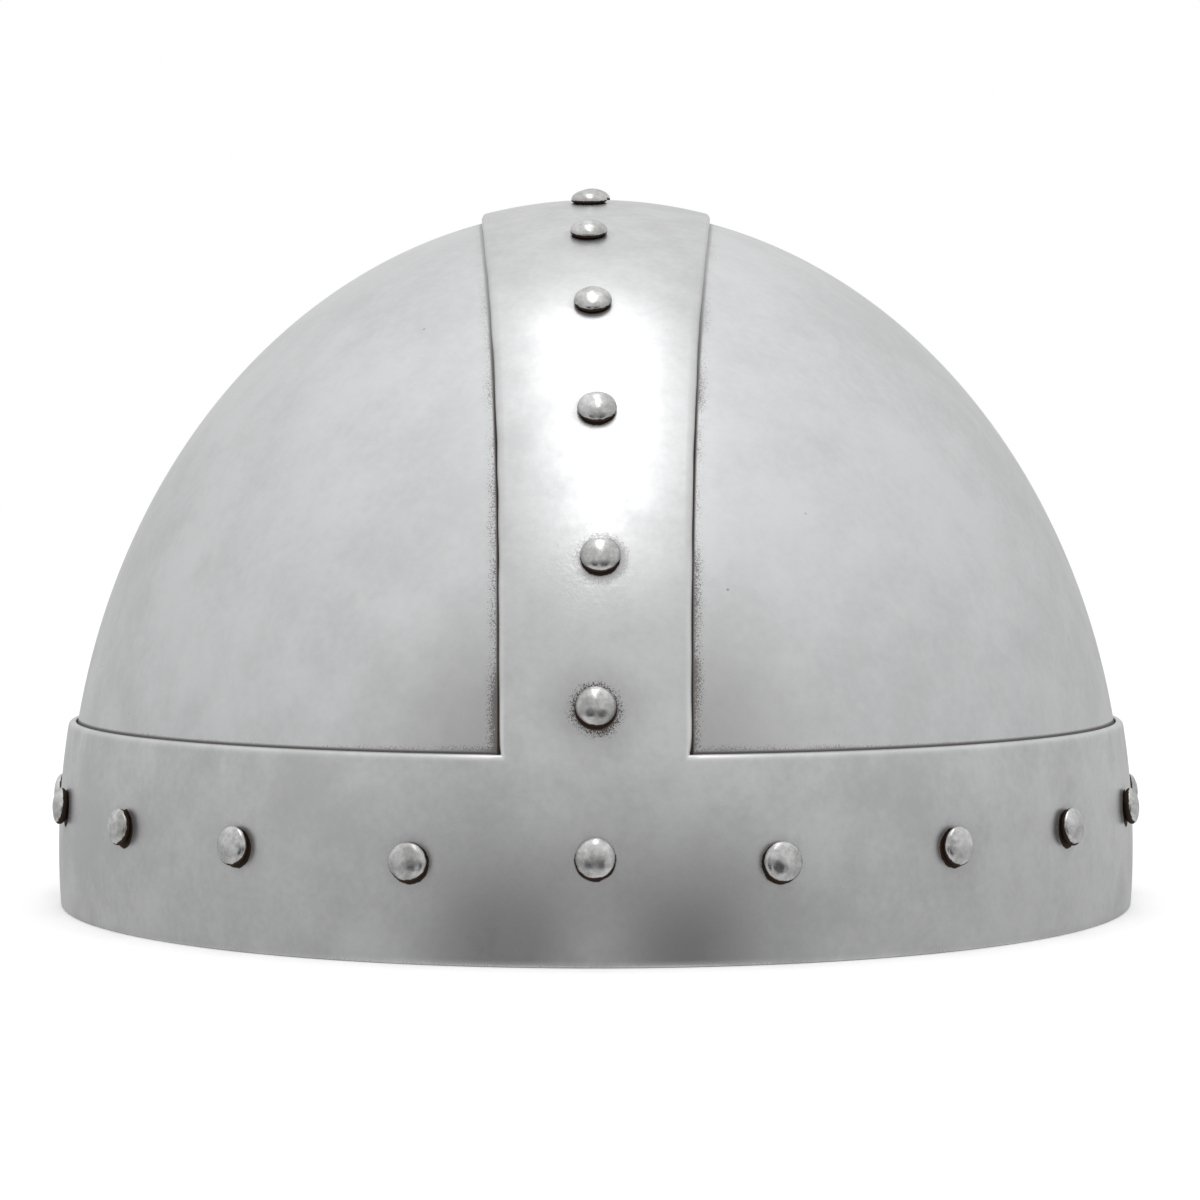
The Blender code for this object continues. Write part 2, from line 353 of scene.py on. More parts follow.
def round_edges(piece, wanted, radius, steps):
    """Bevels the sharp edges that pass the test on their two ends."""
    edit(piece)
    bpy.ops.mesh.select_mode(type="EDGE")
    bpy.ops.mesh.select_all(action="DESELECT")
    done()
    sharp = sharp_edges(piece)
    points = [vertex.co.copy() for vertex in piece.data.vertices]
    count = 0
    for edge in piece.data.edges:
        first, second = (points[index] for index in edge.vertices)
        edge.select = tuple(sorted(edge.vertices)) in sharp and wanted(first, second)
        count += edge.select
    bpy.ops.object.mode_set(mode="EDIT")
    bpy.ops.mesh.bevel(offset=radius, segments=steps, affect="EDGES", clamp_overlap=False)
    bpy.ops.mesh.select_mode(type="VERT")
    done()
    return count


MIDDLE_OF_SHEET = FRAME_SHEET / 2
MIDDLE_OF_BAND = BAND_HEIGHT / 2


def is_outer(first, second):
    return max(depth_of(first), depth_of(second)) < MIDDLE_OF_SHEET


def is_inner(first, second):
    return min(depth_of(first), depth_of(second)) > MIDDLE_OF_SHEET


def is_upper_outer(first, second):
    return is_outer(first, second) and min(first.z, second.z) > MIDDLE_OF_BAND


def is_rim(first, second):
    return is_outer(first, second) and max(first.z, second.z) < MIDDLE_OF_BAND


outer_count = round_edges(frame_steel, is_upper_outer, OUTER_ROUND, 4)
rim_count = round_edges(frame_steel, is_rim, RIM_ROUND, 3)
inner_count = round_edges(frame_steel, is_inner, INNER_ROUND, 2)
print("rounded", outer_count, rim_count, inner_count, "edges;", triangles(frame_steel), "triangles")

# %% [markdown]
# ## The rivets
#
# Each rivet has a domed head that a hammer has finished, a shank, and a spread tail inside. The heads on the
# band stand a little clear of it, and those on the crest sit lower. Each kind is modelled once at the origin:
# a ball is squashed to a dome with an undercut below its widest ring, and its lower end is drawn out into the
# shank and spread again.

# %% One rivet of each kind
HEAD_RADIUS = 3.5 * MM
HEAD_TOP = 2.62 * MM
NECK_RADIUS = 2.3 * MM
SHANK_RADIUS = 2.0 * MM
TAIL_RADIUS = 3.2 * MM
TAIL_HEIGHT = 1.1 * MM
RIVET_SEGMENTS = 48
RIVET_RINGS = 36
SINK = 0.1 * MM  # the neck goes this far into the sheet
KINDS = {  # ring: height of the head's widest ring above the sheet; grip: length of the shank
    "brow": {"ring": 1.15 * MM, "grip": 3.1 * MM},
    "brow_lap": {"ring": 1.00 * MM, "grip": 4.6 * MM},
    "crest": {"ring": 0.62 * MM, "grip": 4.6 * MM},
}


def squash_half(piece, above, height):
    """Scales the upper or lower half of the ball to this height."""
    edit_picked(piece, lambda point: point.z > WELD_DISTANCE if above else point.z < -WELD_DISTANCE)
    bpy.ops.transform.resize(value=(1, 1, height / HEAD_RADIUS), center_override=(0, 0, 0))
    done()


def draw_out(depth, spread):
    """One stroke: the selected end is extruded downwards and scaled about the rivet's axis."""
    bpy.ops.mesh.extrude_region_move(TRANSFORM_OT_translate={"value": (0, 0, -depth)})
    bpy.ops.transform.resize(value=(spread, spread, 1), center_override=(0, 0, 0))


def make_rivet(name, ring, grip):
    bpy.ops.object.select_all(action="DESELECT")
    bpy.ops.mesh.primitive_uv_sphere_add(segments=RIVET_SEGMENTS, ring_count=RIVET_RINGS, radius=HEAD_RADIUS)
    rivet = named(name)
    neck_depth = ring + SINK
    squash_half(rivet, True, HEAD_TOP - ring)
    squash_half(rivet, False, neck_depth / math.sqrt(1 - (NECK_RADIUS / HEAD_RADIUS) ** 2))
    edit(rivet)
    bpy.ops.mesh.bisect(plane_co=(0, 0, -neck_depth), plane_no=(0, 0, -1), clear_outer=True, use_fill=True)
    done()
    edit_picked(rivet, lambda point: point.z < WELD_DISTANCE - neck_depth)
    draw_out(0.0, SHANK_RADIUS / NECK_RADIUS)
    draw_out(grip, 1.0)
    draw_out(0.0, TAIL_RADIUS / SHANK_RADIUS)
    draw_out(TAIL_HEIGHT * 0.5, 0.96)
    draw_out(TAIL_HEIGHT * 0.5, 0.7)
    bpy.ops.mesh.select_all(action="SELECT")
    bpy.ops.transform.translate(value=(0, 0, ring))
    bpy.ops.mesh.remove_doubles(threshold=WELD_DISTANCE / 4)
    bpy.ops.mesh.normals_make_consistent(inside=False)
    done()
    return rivet


patterns = {kind: make_rivet(f"{kind}_pattern", **sizes) for kind, sizes in KINDS.items()}
print("one rivet:", triangles(patterns["crest"]), "triangles; it stands", round(HEAD_TOP / MM, 2), "mm proud")

# %% [markdown]
# ### Hammer and set the rivets
#
# The top of a packed rivet's head is its farthest point from the bowl, and its seat is straight below. Each
# copy of the pattern gets a few hammered flats of its own: a plane shaves the dome, and the points above it
# are pressed softly onto it. It is then tipped by a degree or two and moved into place in its own mesh.

# %% Hammered flats
FLATS = 4
SHAVE = 0.07 * MM
RIDGE_SOFT = 0.09 * MM  # how softly a flat runs into the dome
FLAT_TILT = (math.radians(10), math.radians(50))
DENT = 0.05 * MM
DENT_LENGTH = 1.1 * MM


def unit_noise(seed, channel):
    """A number from 0 to 1 that is always the same for a seed and channel."""
    return 0.5 + 0.5 * math.sin(seed * 12.9898 + channel * 78.233 + (seed * channel) ** 2 * 0.37)


def hammer_head(piece, ring, seed):
    dome = HEAD_TOP - ring
    flats = []
    for number in range(FLATS):
        tilt = FLAT_TILT[0] + (FLAT_TILT[1] - FLAT_TILT[0]) * unit_noise(seed, number + 1)
        turn = (number + unit_noise(seed, number + 21)) * 2 * math.pi / FLATS
        facing = Vector((math.sin(tilt) * math.cos(turn), math.sin(tilt) * math.sin(turn), math.cos(tilt)))
        support = math.hypot(HEAD_RADIUS * math.sin(tilt), dome * math.cos(tilt))
        flats.append((facing, support - SHAVE * (0.5 + unit_noise(seed, number + 41))))
    drift = Vector((seed * 17.3, seed * 5.1, seed * 9.7))
    for vertex in piece.data.vertices:
        if vertex.co.z > ring + WELD_DISTANCE:
            local = vertex.co - Vector((0, 0, ring))
            for facing, reach in flats:
                over = local.dot(facing) - reach
                local -= facing * (over + math.hypot(over, RIDGE_SOFT)) / 2
            local *= 1 - DENT / dome * max(0.0, noise.noise(local / DENT_LENGTH + drift))
            vertex.co = local + Vector((0, 0, ring))


print("a flat is shaved", round(SHAVE / MM, 2), "mm deep")

# %% Set them
HEAD_STAND = 2.7 * MM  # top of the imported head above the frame's outer face
LEAN = math.radians(3.0)
OVAL = 0.05
HEAD_GRIME_AND_SHADE_SAG = 0.55  # mm that the grime and painted shade climb higher on the lower side of a head


def seat_of(node):
    """Where the rivet's axis meets the outer face of the frame, and the direction of its head."""
    top = max((vertex.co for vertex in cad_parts[node].data.vertices), key=outwardness)
    normal = bowl_normal(top)
    return top - normal * HEAD_STAND, normal


def set_rivet(node, seed):
    seat, normal = seat_of(node)
    kind = "crest"
    if node.startswith("brow"):
        kind = "brow_lap" if abs(seat.x) < LAP_HALF else "brow"
    ring = KINDS[kind]["ring"]
    rivet = patterns[kind].copy()
    rivet.data = patterns[kind].data.copy()
    rivet.name = f"{node}_steel"
    bpy.context.scene.collection.objects.link(rivet)
    hammer_head(rivet, ring, seed)
    oval = 1 - OVAL * unit_noise(seed, 61)
    spin = Matrix.Rotation(2 * math.pi * unit_noise(seed, 62), 4, "Z")
    lean = Matrix.Rotation(LEAN * (unit_noise(seed, 63) - 0.5), 4, "X")
    shape = lean @ spin @ Matrix.Diagonal((1, oval, 1, 1)) @ spin.inverted()
    turned = normal.to_track_quat("Z", "Y").to_matrix().to_4x4()
    above_ring = [(vertex.co.z - ring) / MM for vertex in rivet.data.vertices]
    rivet.data.transform(Matrix.Translation(seat) @ turned @ shape)
    # the mark is lowered on each head's lower side, so the grime and painted shade below the ring climb higher
    # there
    for index, vertex in enumerate(rivet.data.vertices):
        outwards = vertex.co - seat
        outwards -= normal * outwards.dot(normal)
        above_ring[index] -= HEAD_GRIME_AND_SHADE_SAG * max(0.0, -outwards.z / max(outwards.length, HEAD_RADIUS / 4))
    layer = rivet.data.attributes.new("above_ring_mm", "FLOAT", "POINT")
    layer.data.foreach_set("value", above_ring)
    return rivet, seat


rivet_nodes = sorted(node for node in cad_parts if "_rivet_" in node)
rivets = {}
seats = {}
for number, node in enumerate(rivet_nodes):
    rivets[node], seats[node] = set_rivet(node, number + 0.5)
for pattern in patterns.values():
    bpy.data.objects.remove(pattern)
print(len(rivets), "rivets; the brow one sits at", tuple(round(v, 4) for v in seats["brow_rivet_01"]))

# %% [markdown]
# ## Marks for dirt, wear, painted shade and painted highlight
#
# Grime and painted shadow gather where sheets overlap and round the rivets, and cut edges are rubbed bright
# and carry a painted highlight. Distances to the strap's edge, the band's edge, the T corner and the nearest
# rivet are kept on every point, in millimetres. The materials read them as attributes, so dirt, wear, painted
# shade and painted highlight follow the real edges. Inner faces get a large distance, because no seam shows
# there.

# %% Distances
corner_reach = math.sqrt(1 - (STRAP_BROW_HALF / HALF_WIDTH) ** 2)
T_CORNER = bowl_point(STRAP_BROW_HALF, math.asin(band_top_level / corner_reach))


def coordinates(piece):
    points = np.zeros(len(piece.data.vertices) * 3, np.float32)
    piece.data.vertices.foreach_get("co", points)
    return points.reshape(-1, 3).astype(float)


def outward_share(points):
    """1 on the frame's outer face and less below it."""
    level = (points[:, 2] - WIDEST_LEVEL) / CROWN_RISE
    return np.sqrt((points[:, 0] / HALF_WIDTH) ** 2 + (points[:, 1] / HALF_LENGTH) ** 2 + level**2)


def strap_distance(points):
    """From the strap's cut edge in mm: above zero beside the strap, below zero on it."""
    level = (points[:, 2] - WIDEST_LEVEL) / CROWN_RISE
    along = points[:, 1] / HALF_LENGTH
    climb_sine = np.clip(level, 0, None) / np.maximum(np.hypot(level, along), 1e-6)
    half = STRAP_BROW_HALF + (STRAP_CROWN_HALF - STRAP_BROW_HALF) * climb_sine**STRAP_FLARE
    return (np.abs(points[:, 0]) - half) / MM


def band_distance(points):
    """From the band's upper edge in mm: above zero over the band, below zero on it."""
    return (points[:, 2] - BAND_HEIGHT) / MM


def corner_distance(points):
    """From the nearest inner corner of the T, in mm."""
    return np.linalg.norm(np.abs(points) - np.abs(np.array(T_CORNER)), axis=1) / MM


print("corner of the T at", tuple(round(v, 4) for v in T_CORNER))

# %% Write the marks
FAR = 60.0
INNER_SHARE = 0.65
RIVET_DIRT = {"crest_rivet_01": 1.0, "crest_rivet_02": 0.3, "crest_rivet_13": 1.0, "crest_rivet_12": 0.3}
PLAIN_RIVET_DIRT = 0.12
PEBBLED = {"crest_rivet_02": 1.0, "crest_rivet_12": 1.0}
PEBBLED_REACH = 9.0
PEBBLED_OFFSET = Vector((-2.0 * MM, 0, -3.0 * MM))
RING_GRIME_AND_SHADE_SAG = Vector((0, 0, -0.36 * MM))  # dirt and painted shadow round a rivet are shifted below it


def write_mark(piece, name, values):
    layer = piece.data.attributes.new(name, "FLOAT", "POINT")
    layer.data.foreach_set("value", np.asarray(values, np.float32))


def write_marks(piece, outer_depth, sheet, inner_value):
    """outer_depth is that of the piece's outer face below the frame's."""
    points = coordinates(piece)
    threshold = 1 - (outer_depth + sheet * INNER_SHARE) / CROWN_RISE
    outer = outward_share(points) > threshold
    seat_points = np.array([seats[node] + RING_GRIME_AND_SHADE_SAG for node in rivet_nodes])
    dirt_and_shade = np.array([RIVET_DIRT.get(node, PLAIN_RIVET_DIRT) for node in rivet_nodes])
    to_seats = np.linalg.norm(points[:, None, :] - seat_points[None, :, :], axis=2) / MM
    nearest = to_seats.argmin(axis=1)
    write_mark(piece, "rivet_mm", to_seats.min(axis=1))
    from_seat = piece.data.attributes.new("from_rivet_mm", "FLOAT_VECTOR", "POINT")
    from_seat.data.foreach_set("vector", ((points - seat_points[nearest]) / MM).astype(np.float32).ravel())
    write_mark(piece, "rivet_dirt", dirt_and_shade[nearest])
    write_mark(piece, "strap_mm", np.where(outer, strap_distance(points), inner_value))
    write_mark(piece, "band_mm", np.where(outer, band_distance(points), inner_value))
    write_mark(piece, "corner_mm", np.where(outer, corner_distance(points), FAR))
    write_mark(piece, "rim_mm", points[:, 2] / MM)
    pebbled = np.zeros(len(points))
    for node, strength in PEBBLED.items():
        middle = seats[node] + PEBBLED_OFFSET
        reach = np.linalg.norm(points - np.array(middle), axis=1) / MM / PEBBLED_REACH
        pebbled = np.maximum(pebbled, strength * np.clip(1 - reach, 0, 1))
    write_mark(piece, "pebbled", pebbled)
    return int(outer.sum()), len(points)


for piece, depth, sheet, inner_value in (
    (frame_steel, 0.0, FRAME_SHEET, -FAR),
    (left_panel, PANEL_DEPTH, PANEL_SHEET, FAR),
    (right_panel, PANEL_DEPTH, PANEL_SHEET, FAR),
):
    print(piece.name, "outer points of all:", write_marks(piece, depth, sheet, inner_value))

# %% [markdown]
# ## Smooth shading
#
# A raised sheet has no facets, so every piece is shaded smooth, with only its real edges kept sharp.

# %% Shading
SMOOTH_ANGLE = math.radians(50)
pieces = {"band_frame": frame_steel, "left_panel": left_panel, "right_panel": right_panel, **rivets}
for piece in pieces.values():
    only(piece)
    bpy.ops.object.shade_smooth_by_angle(angle=SMOOTH_ANGLE)
print("shaded", len(pieces), "pieces")

# %% [markdown]
# ## Effects that several materials share
#
# Blasted steel shows the same few things everywhere: slow cloudy patches, a fine grain, rare small pits and
# dirt that thins out from a seam in specks, over a fine dark line of grime and painted shadow at the seam.
# Each is a node group with named inputs, built once. First come the few helpers that add and link a node.

# %% Node helpers


def feed(tree, socket, value):
    """Sets a socket to a number or colour, or links another socket to it."""
    if isinstance(value, (int, float, tuple)):
        socket.default_value = value
    else:
        tree.links.new(value, socket)


def add_math(tree, operation, first, second=0.0, clamp=False):
    node = tree.nodes.new("ShaderNodeMath")
    node.operation = operation
    node.use_clamp = clamp
    feed(tree, node.inputs[0], first)
    feed(tree, node.inputs[1], second)
    return node.outputs["Value"]


def add_range(tree, value, low, high, to_low=0.0, to_high=1.0):
    """Maps a number from one range to another, with soft ends."""
    node = tree.nodes.new("ShaderNodeMapRange")
    node.interpolation_type = "SMOOTHSTEP"
    feed(tree, node.inputs["Value"], value)
    for label, amount in (("From Min", low), ("From Max", high), ("To Min", to_low), ("To Max", to_high)):
        feed(tree, node.inputs[label], amount)
    return node.outputs["Result"]


def add_noise(tree, vector, scale, detail=2.0, roughness=0.5):
    node = tree.nodes.new("ShaderNodeTexNoise")
    feed(tree, node.inputs["Vector"], vector)
    feed(tree, node.inputs["Scale"], scale)
    node.inputs["Detail"].default_value = detail
    node.inputs["Roughness"].default_value = roughness
    return node.outputs["Fac"]


def new_group(name, inputs, outputs):
    """A shader group with a Vector input, number inputs and number outputs, and its two end nodes."""
    group = bpy.data.node_groups.new(name, "ShaderNodeTree")
    group.interface.new_socket(name="Vector", in_out="INPUT", socket_type="NodeSocketVector")
    for label, default in inputs.items():
        socket = group.interface.new_socket(name=label, in_out="INPUT", socket_type="NodeSocketFloat")
        socket.default_value = default
    for label in outputs:
        group.interface.new_socket(name=label, in_out="OUTPUT", socket_type="NodeSocketFloat")
    return group, group.nodes.new("NodeGroupInput").outputs, group.nodes.new("NodeGroupOutput").inputs


groups = {}
print("node helpers ready")

# %% Clouds and grain


def cloud_group():
    """Slow patches with a fine mottle over them, 0 to 1 and about 0.5 on average."""
    group, given, result = new_group("steel_clouds", {"Patch Scale": 30.0}, ["Tone"])
    mixed = 0.0
    for factor, weight in ((1.0, 0.55), (4.3, 0.25), (22.0, 0.20)):
        scale = add_math(group, "MULTIPLY", given["Patch Scale"], factor)
        patches = add_noise(group, given["Vector"], scale, 3.0, 0.6)
        mixed = add_math(group, "ADD", add_math(group, "MULTIPLY", patches, weight), mixed)
    feed(group, result["Tone"], add_range(group, mixed, 0.34, 0.66))
    return group


def grain_group():
    """The blasted grain, as a height."""
    group, given, result = new_group("blasted_grain", {"Grain Scale": 2200.0}, ["Height"])
    fine = add_noise(group, given["Vector"], given["Grain Scale"], 2.0, 0.6)
    coarse_scale = add_math(group, "MULTIPLY", given["Grain Scale"], 0.3)
    coarse = add_noise(group, given["Vector"], coarse_scale, 2.0, 0.5)
    fine_share = add_math(group, "MULTIPLY", fine, 0.6)
    coarse_share = add_math(group, "MULTIPLY", coarse, 0.4)
    feed(group, result["Height"], add_math(group, "ADD", fine_share, coarse_share))
    return group


groups["clouds"] = cloud_group()
groups["grain"] = grain_group()
print("groups:", sorted(groups))

# %% Pits and dirt
SPECK_SCALE = 4400.0


def pit_group():
    """Rare small pits: 1 inside one, 0 elsewhere."""
    inputs = {"Pit Scale": 130.0, "Pit Size": 0.05, "Rarity": 0.75}
    group, given, result = new_group("fine_pits", inputs, ["Pit"])
    cells = group.nodes.new("ShaderNodeTexVoronoi")
    feed(group, cells.inputs["Vector"], given["Vector"])
    feed(group, cells.inputs["Scale"], given["Pit Scale"])
    near = add_range(group, cells.outputs["Distance"], 0.0, given["Pit Size"], 1.0, 0.0)
    chance = group.nodes.new("ShaderNodeSeparateColor")
    feed(group, chance.inputs["Color"], cells.outputs["Color"])
    kept = add_math(group, "GREATER_THAN", chance.outputs["Red"], given["Rarity"])
    feed(group, result["Pit"], add_math(group, "MULTIPLY", near, kept))
    return group


def speck_group():
    """Dirt that thins out in fine specks until it ends at Reach, over a solid line at distance 0 of grime and
    painted shadow.
    """
    inputs = {"Distance": 0.0, "Reach": 2.0, "Line": 0.25, "Density": 0.42, "Strength": 0.5}
    group, given, result = new_group("speckled_dirt_and_shadow", inputs, ["Dirt"])
    share = add_math(group, "DIVIDE", given["Distance"], given["Reach"])
    near = add_math(group, "SUBTRACT", 1.0, share, clamp=True)
    specks = add_noise(group, given["Vector"], SPECK_SCALE, 2.0, 0.6)
    patchy = add_range(group, add_noise(group, given["Vector"], 90.0, 2.0, 0.5), 0.3, 0.7, 0.55, 1.0)
    near = add_math(group, "MULTIPLY", near, patchy)
    threshold = add_math(group, "SUBTRACT", 0.72, add_math(group, "MULTIPLY", near, given["Density"]))
    scattered = add_range(group, specks, threshold, add_math(group, "ADD", threshold, 0.12))
    scattered = add_math(group, "MULTIPLY", scattered, add_range(group, near, 0.0, 0.4))
    dust = add_math(group, "MULTIPLY", add_math(group, "MULTIPLY", near, near), 0.2)
    scattered = add_math(group, "MULTIPLY", add_math(group, "ADD", scattered, dust), given["Strength"])
    # the solid line at distance 0: grime and painted shadow beside a seam or at a head's edge
    line = add_range(group, given["Distance"], 0.0, given["Line"], 1.0, 0.0)
    feed(group, result["Dirt"], add_math(group, "MAXIMUM", scattered, line))
    return group


groups["pits"] = pit_group()
groups["specks"] = speck_group()
print("groups:", sorted(groups))

# %% [markdown]
# ## The steel
#
# All sheets are bare mild steel, blasted to a satin. A small class keeps the nodes of one such steel: it
# places the shared groups, reads the marks and mixes colours. Dirt and painted shade are darker, browner and
# rougher than steel and aren't metallic.

# %% A steel to build on
# the colour of grime and also of painted shade and shadow
GRIME_AND_SHADE = (0.022, 0.009, 0.002, 1.0)
PIT_DIRT = 0.65  # share of grime in a pit
PIT_DEPTH = 1.5  # against the height of the grain
DIRT_ROUGHNESS = 0.4  # added where dirt lies
SHEET_BUMP = 0.25


class Steel:
    """A Principled steel whose tone, roughness, dirt and painted shade come from the shared groups."""

    def __init__(self, name):
        self.material = bpy.data.materials.new(name)
        self.material.use_nodes = True
        self.tree = self.material.node_tree
        self.shader = self.tree.nodes["Principled BSDF"]
        self.shader.inputs["Specular IOR Level"].default_value = 0.15  # of the dirt and painted shade; bare steel ignores it
        self.place = self.tree.nodes.new("ShaderNodeTexCoord").outputs["Object"]

    def use(self, group, **values):
        """Places a shared group. Underscores in the names stand for spaces."""
        node = self.tree.nodes.new("ShaderNodeGroup")
        node.node_tree = groups[group]
        feed(self.tree, node.inputs["Vector"], self.place)
        for label, value in values.items():
            feed(self.tree, node.inputs[label.replace("_", " ")], value)
        return node.outputs[0]

    def mark(self, name):
        node = self.tree.nodes.new("ShaderNodeAttribute")
        node.attribute_name = name
        return node.outputs["Fac"]

    def length_of(self, name):
        """The length of an offset kept as a mark, which gives truer circles than a kept distance."""
        node = self.tree.nodes.new("ShaderNodeAttribute")
        node.attribute_name = name
        length = self.tree.nodes.new("ShaderNodeVectorMath")
        length.operation = "LENGTH"
        feed(self.tree, length.inputs[0], node.outputs["Vector"])
        return length.outputs["Value"]

    def math(self, operation, first, second=0.0, clamp=False):
        return add_math(self.tree, operation, first, second, clamp)

    def range(self, value, low, high, to_low=0.0, to_high=1.0):
        return add_range(self.tree, value, low, high, to_low, to_high)

    def mix(self, factor, first, second):
        """A colour between two, by a factor socket."""
        node = self.tree.nodes.new("ShaderNodeMix")
        node.data_type = "RGBA"
        feed(self.tree, node.inputs["Factor"], factor)
        sockets = [socket for socket in node.inputs if socket.type == "RGBA"]
        feed(self.tree, sockets[0], first)
        feed(self.tree, sockets[1], second)
        return next(socket for socket in node.outputs if socket.type == "RGBA")

    def finish(self, colour, dirt_and_shade, roughness, height, strength):
        """Connects tone, dirt with painted shade, roughness and bump to the shader."""
        feed(self.tree, self.shader.inputs["Base Color"], self.mix(dirt_and_shade, colour, GRIME_AND_SHADE))
        feed(self.tree, self.shader.inputs["Metallic"], self.math("SUBTRACT", 1.0, dirt_and_shade, clamp=True))
        feed(self.tree, self.shader.inputs["Roughness"], roughness)
        bump = self.tree.nodes.new("ShaderNodeBump")
        bump.inputs["Strength"].default_value = strength
        bump.inputs["Distance"].default_value = 0.05 * MM
        feed(self.tree, bump.inputs["Height"], height)
        feed(self.tree, self.shader.inputs["Normal"], bump.outputs["Normal"])
        return self.material


print("grime colour", GRIME_AND_SHADE[:3])

# %% [markdown]
# ### Panel steel
#
# The panels are the lightest steel. Black specks of scale lie in a narrow zone beside the strap and fewer
# above the band, over a fine dark line of grime and painted shadow in the seam itself. Round the inner corner
# of the T the sheet is toned darker.

# %% Panel steel
PANEL_DARK = (0.600, 0.604, 0.610, 1.0)
PANEL_LIGHT = (0.690, 0.695, 0.702, 1.0)
CORNER_TONE = (0.38, 0.375, 0.37, 1.0)
PANEL_DIRTIEST = 0.96
BAND_SEAM = 0.8  # dirt along the band, against that along the strap


def panel_steel():
    steel = Steel("blasted_panel_steel")
    clouds = steel.use("clouds", Patch_Scale=26.0)
    grain = steel.use("grain")
    pits = steel.use("pits")
    near_corner = steel.range(steel.mark("corner_mm"), 4.0, 45.0, 1.0, 0.0)
    # beside the strap: specks of scale over a fine seam line of grime and painted shadow
    by_strap = steel.use(
        "specks", Distance=steel.mark("strap_mm"), Reach=3.0, Line=0.60,
        Density=steel.range(near_corner, 0.0, 1.0, 0.36, 0.54), Strength=0.62,
    )
    by_strap = steel.math("MULTIPLY", by_strap, steel.range(steel.mark("rim_mm"), 85.0, 128.0, 1.0, 0.35))
    # above the band the same, fainter: specks over a seam line of grime and painted shadow
    by_band = steel.use(
        "specks", Distance=steel.mark("band_mm"), Reach=steel.range(near_corner, 0.0, 1.0, 0.8, 2.4),
        Line=0.50, Density=0.48, Strength=0.55,
    )
    by_band = steel.math("MULTIPLY", by_band, BAND_SEAM)
    dirt_and_shade = steel.math("MAXIMUM", by_strap, by_band)
    dirt_and_shade = steel.math("MAXIMUM", dirt_and_shade, steel.math("MULTIPLY", pits, PIT_DIRT))
    dirt_and_shade = steel.math("MULTIPLY", dirt_and_shade, PANEL_DIRTIEST)
    # the sheet is toned darker towards the inner corner of the T
    toward_corner_tone = steel.range(steel.mark("corner_mm"), 0.0, 34.0, 0.60, 0.0)
    tone = steel.mix(toward_corner_tone, steel.mix(clouds, PANEL_DARK, PANEL_LIGHT), CORNER_TONE)
    satin = steel.range(clouds, 0.0, 1.0, 0.44, 0.37)
    rough = steel.math("ADD", satin, steel.math("MULTIPLY", dirt_and_shade, DIRT_ROUGHNESS))
    height = steel.math("SUBTRACT", grain, steel.math("MULTIPLY", pits, PIT_DEPTH))
    return steel.finish(tone, dirt_and_shade, rough, height, SHEET_BUMP)


materials = {"panel_steel": panel_steel()}
print("materials:", sorted(materials))

# %% [markdown]
# ### Frame steel
#
# Band and strap are a little smoother, so the overhead light shows on the crest as a long streak. Their
# rounded edges are lighter, partly rubbed and partly a painted highlight, most of all near the T. A thin ring
# of grime and painted shadow lies at the edge of each head. Soot and specks ring the lowest crest rivet, and
# the skin of the steel is pebbled round the rivet above it.

# %% Frame steel
FRAME_DARK = (0.540, 0.543, 0.548, 1.0)
FRAME_LIGHT = (0.675, 0.678, 0.683, 1.0)
EDGE_WEAR_AND_HIGHLIGHT = (0.82, 0.82, 0.82, 1.0)
HALO = (0.34, 0.335, 0.33, 1.0)
FRAME_DIRTIEST = 0.985
RIM_DIRT = 0.7
RAGGED_EDGE = 0.6  # mm by which the edge of the grime and painted shadow at a head wavers
COARSE_LESS = 0.4  # mm; the kept distance only counts midway between two rivets
PEBBLE_DEPTH = 4.0  # against the height of the grain


